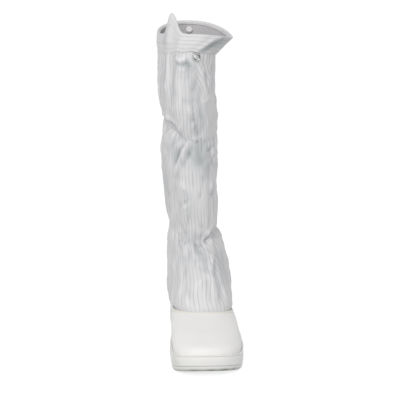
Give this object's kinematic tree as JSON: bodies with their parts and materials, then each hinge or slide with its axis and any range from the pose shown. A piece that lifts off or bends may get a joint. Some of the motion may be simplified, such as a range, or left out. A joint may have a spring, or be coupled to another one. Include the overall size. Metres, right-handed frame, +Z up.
{
  "type": "cleanroom boot",
  "caption": "Tall white cleanroom boot with a moulded sole, a coated-leather foot and a slack striped fabric shaft gathered at ankle and calf, for the left foot.",
  "frame": {"origin": "on the ground under the middle of the heel, on the heel lug's flat face", "axes": "+Z up the shaft, -Y towards the toe, +X towards the outer (lateral) side"},
  "size_m": [0.1015, 0.2656, 0.4056],
  "materials": {
    "outsole": "matt moulded polyurethane, off-white",
    "midsole": "satin moulded polyurethane, white",
    "insole": "matt white foam board",
    "foot_upper": "smooth coated leather, white, soft satin",
    "shaft": "white polyester with fine grey carbon stripes",
    "cuff": "white polyester band with stripes along it",
    "press_stud": "bright nickel",
    "inner_snap": "white plastic"
  },
  "bodies": {
    "root": {"outsole": "outsole", "midsole": "midsole", "insole": "insole", "foot_upper": "foot_upper", "shaft": "shaft", "cuff": "cuff", "press_stud": "press_stud", "inner_snap": "inner_snap"}
  },
  "joints": []
}
